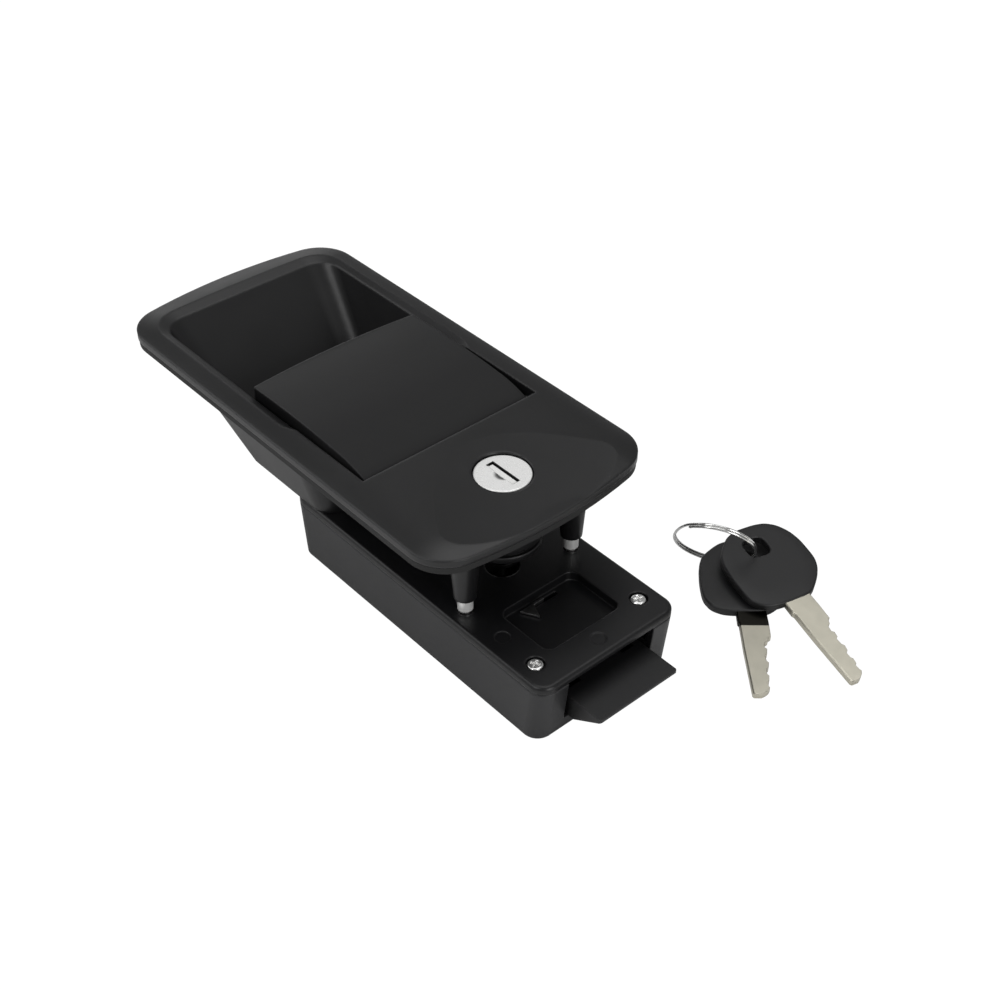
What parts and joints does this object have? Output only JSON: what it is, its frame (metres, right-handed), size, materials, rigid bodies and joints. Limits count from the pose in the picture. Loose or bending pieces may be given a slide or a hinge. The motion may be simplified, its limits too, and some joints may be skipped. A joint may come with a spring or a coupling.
{
  "type": "paddle-handle slam door lock",
  "caption": "Flush paddle-handle door lock for a motorhome door, with inside slam-bolt housing, key cylinder and two keys on a ring.",
  "frame": {"origin": "on the flat interior face of the inside housing, straight under the key cylinder's axis", "axes": "+X to the slam bolt, +Y across the lock away from the viewer, +Z out of the vehicle through the door"},
  "size_m": [0.2279, 0.1267, 0.0583],
  "materials": {
    "satin_black": "satin moulded glass-filled nylon",
    "housing_black": "fine matt moulded nylon",
    "inner_black": "plain moulded acetal",
    "rubber_black": "closed-cell foam rubber",
    "zinc": "satin chrome on zinc die casting",
    "steel": "bright zinc-plated steel",
    "brass": "stamped",
    "nickel_silver": "satin nickel silver",
    "shutter": "smooth"
  },
  "bodies": {
    "lock_body": {"outer_plate": "satin_black", "gasket": "rubber_black", "paddle_pin": "steel", "cylinder_sleeve": "zinc", "cylinder_clip": "steel", "housing": "housing_black", "cover_plate": "housing_black", "lever_pin": "steel", "near_stud": "steel", "far_stud": "steel", "near_fixing_screw": "steel", "far_fixing_screw": "steel", "near_cover_screw": "steel", "far_cover_screw": "steel", "retractor_spring": "steel", "split_ring": "steel", "front_key_head": "satin_black", "front_key_blade": "nickel_silver", "rear_key_head": "satin_black", "rear_key_blade": "nickel_silver"},
    "outer_paddle": {"outer_paddle": "satin_black", "paddle_arm": "steel", "arm_rivet_1": "steel", "arm_rivet_2": "steel", "paddle_spring": "steel"},
    "retractor": {"retractor": "inner_black", "bolt_spring": "steel"},
    "slam_bolt": {"slam_bolt": "housing_black"},
    "inside_lever": {"inside_lever": "housing_black", "lever_spring": "steel"},
    "key_plug": {"key_plug": "zinc", "plug_ring": "steel", "plug_tail": "steel", "tail_screw": "steel", "wafer_1": "brass", "wafer_2": "brass", "wafer_3": "brass", "wafer_4": "brass", "wafer_5": "brass", "wafer_6": "brass"},
    "keyway_shutter": {"keyway_shutter": "shutter"},
    "lock_slide": {"lock_slide": "steel"},
    "snib": {"snib": "housing_black"}
  },
  "joints": [
    {"name": "paddle_lift", "type": "hinge", "parent": "lock_body", "child": "outer_paddle", "pos_m": [-0.0259, 0, 0.0512], "axis": [0, 1, 0], "range_deg": [0, 17.6], "stiffness_Nm_per_rad": 0.15, "springref_deg": -17.19},
    {"name": "retractor_slide", "type": "slide", "parent": "lock_body", "child": "retractor", "axis": [-1, 0, 0], "range_m": [0, 0.011], "deforming": ["retractor_spring"]},
    {"name": "bolt_slam", "type": "slide", "parent": "retractor", "child": "slam_bolt", "axis": [-1, 0, 0], "range_m": [0, 0.011], "stiffness_N_per_m": 250, "springref_m": -0.01, "deforming": ["bolt_spring"]},
    {"name": "inside_lever_pull", "type": "hinge", "parent": "lock_body", "child": "inside_lever", "pos_m": [-0.02, 0, 0.0038], "axis": [0, -1, 0], "range_deg": [0, 49.2]},
    {"name": "plug_turn", "type": "hinge", "parent": "lock_body", "child": "key_plug", "pos_m": [0, 0, 0.045], "axis": [0, 0, 1], "range_deg": [0, 90]},
    {"name": "lock_slide_shift", "type": "slide", "parent": "lock_body", "child": "lock_slide", "axis": [0, 1, 0], "range_m": [0, 0.0051]},
    {"name": "shutter_swing", "type": "hinge", "parent": "key_plug", "child": "keyway_shutter", "pos_m": [0, -0.00075, 0.0551], "axis": [-1, 0, 0], "range_deg": [0, 80], "stiffness_Nm_per_rad": 0.0001, "springref_deg": -17.19},
    {"name": "snib_slide", "type": "slide", "parent": "lock_body", "child": "snib", "axis": [1, 0, 0], "range_m": [0, 0.006]}
  ],
  "couplings": [
    {"joint": "retractor_slide", "follows": "paddle_lift", "m_per_rad": 0.03581},
    {"joint": "inside_lever_pull", "follows": "paddle_lift", "ratio": 2.7954},
    {"joint": "lock_slide_shift", "follows": "plug_turn", "m_per_rad": 0.003246}
  ]
}
